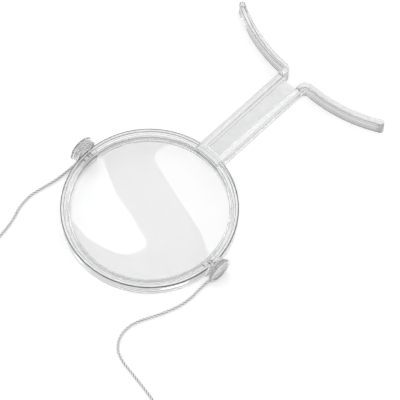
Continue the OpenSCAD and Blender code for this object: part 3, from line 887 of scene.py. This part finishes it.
edit(stand)
bpy.ops.mesh.select_mode(type="EDGE")
bpy.ops.mesh.select_all(action="DESELECT")
bpy.ops.mesh.edges_select_sharp(sharpness=math.radians(40))
select_where(stand, "EDGE", takes_rounding, among=True)
bpy.ops.transform.edge_bevelweight(value=1)
bpy.ops.object.mode_set(mode="OBJECT")
apply_modifier(stand, "BEVEL", width=mould_round * mm, segments=4, limit_method="WEIGHT",
               use_clamp_overlap=False)
closed_up(stand, 30)
flat_faces(stand)

# Painted shade darkens its legs' sides, in bands along them and most at the tips, and the channel's floor is
# matt above, with painted shade towards its root. Faint dark lines of painted shade run along the arm's outer
# faces, at both edges and higher than half-way up.
line_wide, top_line_share, base_line_share = 0.9, 0.3, 0.15
face_line_z, face_line_half, face_line_share = 8.3, 1.6, 0.45
painted_wall_tint, painted_leg_tint, painted_tip_tint, line_depth, line_start, line_pitch = 0.9, 0.78, 0.5, 0.4, 0.9, 4.9
matt_tint, matt_grain, matt_rough = 0.84, 0.07, 0.3
clear_stand = clear_plastic("clear_stand", (0.98, 0.985, 0.98), 0.01, 0.03, 0.01, painted_wall_tint=painted_wall_tint,
                            painted_edge_tint=0.5)
nodes, links = clear_stand.node_tree.nodes, clear_stand.node_tree.links
body = nodes["Principled BSDF"]
place = nodes.new("ShaderNodeTexCoord")
spot = nodes.new("ShaderNodeSeparateXYZ")
links.new(place.outputs["Object"], spot.inputs[0])
aside = math_node(nodes, links, "ABSOLUTE", spot.outputs["X"], 0)
# Painted shade: the legs' sideways faces are darker than the arm's, with dark bands along them, and darker
# again towards the tips.
on_leg = ramp(nodes, links, spot.outputs["Y"], ring_y + bend_y * mm, ring_y + (bend_y + 2) * mm)
at_end = ramp(nodes, links, aside, (leg_tip_x - 2) * mm, leg_tip_x * mm)
turn = math_node(nodes, links, "MULTIPLY", math_node(
    nodes, links, "SUBTRACT", spot.outputs["Z"], line_start * mm), 2 * math.pi / (line_pitch * mm))
line = ramp(nodes, links, math_node(nodes, links, "COSINE", turn, 0), -1, 1)
line = math_node(nodes, links, "MULTIPLY", math_node(nodes, links, "POWER", line, 4), line_depth)
leg_shade = math_node(nodes, links, "SUBTRACT", painted_leg_tint, line)
leg_shade = math_node(nodes, links, "MULTIPLY", leg_shade, math_node(
    nodes, links, "SUBTRACT", 1, math_node(nodes, links, "MULTIPLY", at_end, 1 - painted_tip_tint)))
shade = math_node(nodes, links, "ADD", math_node(nodes, links, "MULTIPLY", on_leg, leg_shade), math_node(
    nodes, links, "MULTIPLY", math_node(nodes, links, "SUBTRACT", 1, on_leg), painted_wall_tint))
links.new(shade, nodes["walls"].inputs["B"])
off_floor = math_node(nodes, links, "ABSOLUTE", math_node(
    nodes, links, "SUBTRACT", spot.outputs["Z"], (base_mm + arm_floor) * mm), 0)
in_channel = math_node(nodes, links, "MULTIPLY",
                       math_node(nodes, links, "LESS_THAN", aside, (channel_half - 0.1) * mm),
                       math_node(nodes, links, "LESS_THAN", off_floor, 0.05 * mm))
grain = nodes.new("ShaderNodeTexNoise")
grain.inputs["Scale"].default_value = 330
grain.inputs["Detail"].default_value = 5
links.new(place.outputs["Object"], grain.inputs["Vector"])
root_shade = ramp(nodes, links, spot.outputs["Y"], ring_y + end_y * mm, ring_y + floor_end * mm, 0.08, 0.0)
matt_shade = math_node(nodes, links, "SUBTRACT", ramp(
    nodes, links, grain.outputs["Fac"], 0.3, 0.7, matt_tint - matt_grain, matt_tint + matt_grain), root_shade)
# Painted shade: dark lines along the arm's outer faces, at the top and base edges and above half-way up,
# stopping before the legs.
painted_line_shade = math_node(
    nodes, links, "ADD",
    ramp(nodes, links, spot.outputs["Z"], (rim_mm - line_wide) * mm, (rim_mm - line_wide / 2) * mm,
         0.0, top_line_share),
    ramp(nodes, links, spot.outputs["Z"], (base_mm + line_wide) * mm, (base_mm + line_wide / 2) * mm,
         0.0, base_line_share))
off_face_line = math_node(nodes, links, "ABSOLUTE", math_node(
    nodes, links, "SUBTRACT", spot.outputs["Z"], face_line_z * mm), 0)
painted_line_shade = math_node(nodes, links, "ADD", painted_line_shade, ramp(
    nodes, links, off_face_line, face_line_half * mm, face_line_half / 2 * mm, 0.0, face_line_share))
painted_line_shade = math_node(nodes, links, "MULTIPLY", painted_line_shade, math_node(
    nodes, links, "GREATER_THAN", aside, (arm_wide / 2 - line_wide) * mm))
painted_line_shade = math_node(nodes, links, "MULTIPLY", painted_line_shade, ramp(
    nodes, links, spot.outputs["Y"], ring_y + bend_y * mm, ring_y + (bend_y + 1) * mm, 1.0, 0.0))
with_painted_lines = mix_colours(nodes, links, nodes["edges"].outputs["Result"], black, painted_line_shade)
links.new(mix_colours(nodes, links, with_painted_lines, matt_shade, in_channel), body.inputs["Base Color"])
polish = body.inputs["Roughness"].links[0].from_socket
matt_part = math_node(nodes, links, "MULTIPLY", in_channel, matt_rough)
links.new(math_node(nodes, links, "ADD", polish, matt_part), body.inputs["Roughness"])
stand.data.materials.append(clear_stand)
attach(stand, "frame")
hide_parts("chest_stand")

# Bobbins
# A thin clear flange stands against each boss and its hub takes the wound end of the cord.
flange_r, flange_thick, hub_r = 8.8, 0.6, 2.8
hub_x = boss_end + flange_thick
hub_end = hub_x + cord_play + cord_d / mm
# Painted shade: faces of the bobbins and studs that don't face along the knobs' axis are a little darker in
# colour.
clear_small = clear_plastic("clear_turning", (0.985, 0.985, 0.985), 0.01, 0.04, 0.05, painted_wall_tint=0.95,
                            unshaded_axis="X", cast=1.0)
for name, side, body in (("left", -1, "frame"), ("right", 1, "frame")):
    bobbin = round_knob_axis(name + "_cord_bobbin", [tuple(p) for p in rounded(
        [(boss_end + air_film, stud_hole_r, 0), (boss_end + air_film, flange_r, 0.15),
         (hub_x, flange_r, 0.15), (hub_x, hub_r, 0.2), (hub_end, hub_r, 0.15), (hub_end, stud_hole_r, 0)],
        3)], side)
    bobbin.data.materials.append(clear_small)
    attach(bobbin, body)
    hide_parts(name + "_bobbin")

# Pressure washers
# A thin disc of milky nylon between the wound cord and each knob spreads the clamping force.
washer_r, washer_thick = 8.0, 0.5
washer_x = hub_end + cord_play
milky_nylon = clear_plastic("milky_nylon", (0.99, 0.99, 0.985), 0.08, 0.15, 0.05, cast=1.0)
for name, side in (("left", -1), ("right", 1)):
    washer = round_knob_axis(name + "_nylon_washer", [tuple(p) for p in rounded(
        [(washer_x, stud_hole_r, 0.1), (washer_x, washer_r, 0.15), (washer_x + washer_thick, washer_r, 0.15),
         (washer_x + washer_thick, stud_hole_r, 0.1)], 3)], side)
    washer.data.materials.append(milky_nylon)
    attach(washer, name + "_clamp")
    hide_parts(name + "_pressure_washer")

# Knobs
# A round disc of clear plastic, turned, with a shallow dish in its outer face and an edge that the fingers
# hold; its rim and rounded edges are darkened with painted shade. The stud is pressed into a blind hole in
# its back.
knob_r, knob_thick, knob_play, dish_r, dish_deep, stud_r, stud_cover = 9.25, 1.6, 0.1, 7.0, 0.4, 1.5, 0.4
knob_x = washer_x + washer_thick + knob_play
stud_end = knob_x + knob_thick - dish_deep - stud_cover
press_gap = 0.01
# Painted shade: the knob's rim is darker in colour and its rounded edges darker still.
clear_knob = clear_plastic("clear_knob", (0.99, 0.99, 0.99), 0.01, 0.04, 0.05, painted_wall_tint=0.85,
                           painted_edge_tint=0.25, unshaded_axis="X", cast=1.0)
for name, side in (("left", -1), ("right", 1)):
    knob = round_knob_axis(name + "_clamp_knob", [(knob_x, 0)] + [tuple(p) for p in rounded(
        [(knob_x, 0, 0), (knob_x, knob_r, 0.4), (knob_x + knob_thick, knob_r, 0.4),
         (knob_x + knob_thick, dish_r, 0.15), (knob_x + knob_thick - dish_deep, dish_r - 0.3, 0.3),
         (knob_x + knob_thick - dish_deep, 0, 0)], 5)][1:], side, closed=False, steps=144)
    socket = round_knob_axis("socket", [
        (knob_x - 1, 0), (knob_x - 1, stud_r + press_gap), (stud_end + press_gap, stud_r + press_gap),
        (stud_end + press_gap, 0)], side, closed=False, steps=48)
    join_or_cut(knob, socket, "DIFFERENCE")
    closed_up(knob, 30)
    knob.data.materials.append(clear_knob)
    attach(knob, name + "_screw")
    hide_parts(name + "_knob")

# Studs
# A threaded rod of the same plastic, half a millimetre in pitch, screws into the boss.
stud_start, thread_pitch, ridge_wide, thread_deep = 54.8, 0.5, 0.47, 0.26
for name, side in (("left", -1), ("right", 1)):
    core_r = stud_r - thread_deep
    stud = round_knob_axis(name + "_threaded_stud", [
        (stud_start, 0), (stud_start, core_r - 0.2), (stud_start + 0.2, core_r), (stud_end, core_r),
        (stud_end, 0)], side, closed=False, steps=32)
    winds = int((stud_end - stud_start - 1.4) / thread_pitch)
    ridge_at = stud_start + 0.4
    ridge = drawn("ridge", [Vector((side * x * mm, ring_y, (knob_z + r) * mm)) for x, r in (
        (ridge_at, core_r - 0.05), (ridge_at + ridge_wide / 2, stud_r),
        (ridge_at + ridge_wide, core_r - 0.05))])
    edit(ridge)
    bpy.ops.mesh.select_all(action="SELECT")
    bpy.ops.transform.translate(value=(0, -ring_y, -knob_z * mm))
    bpy.ops.object.mode_set(mode="OBJECT")
    apply_modifier(ridge, "SCREW", axis="X", steps=24, render_steps=24, iterations=winds,
                   use_merge_vertices=False, screw_offset=side * thread_pitch * mm, angle=2 * math.pi)
    edit(ridge)
    bpy.ops.mesh.select_all(action="SELECT")
    bpy.ops.transform.translate(value=(0, ring_y, knob_z * mm))
    bpy.ops.mesh.fill_holes(sides=3)
    bpy.ops.object.mode_set(mode="OBJECT")
    closed_up(ridge)
    join_or_cut(stud, ridge, "UNION")
    closed_up(stud, 30)
    stud.data.materials.append(clear_small)
    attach(stud, name + "_screw")
    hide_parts(name + "_stud")
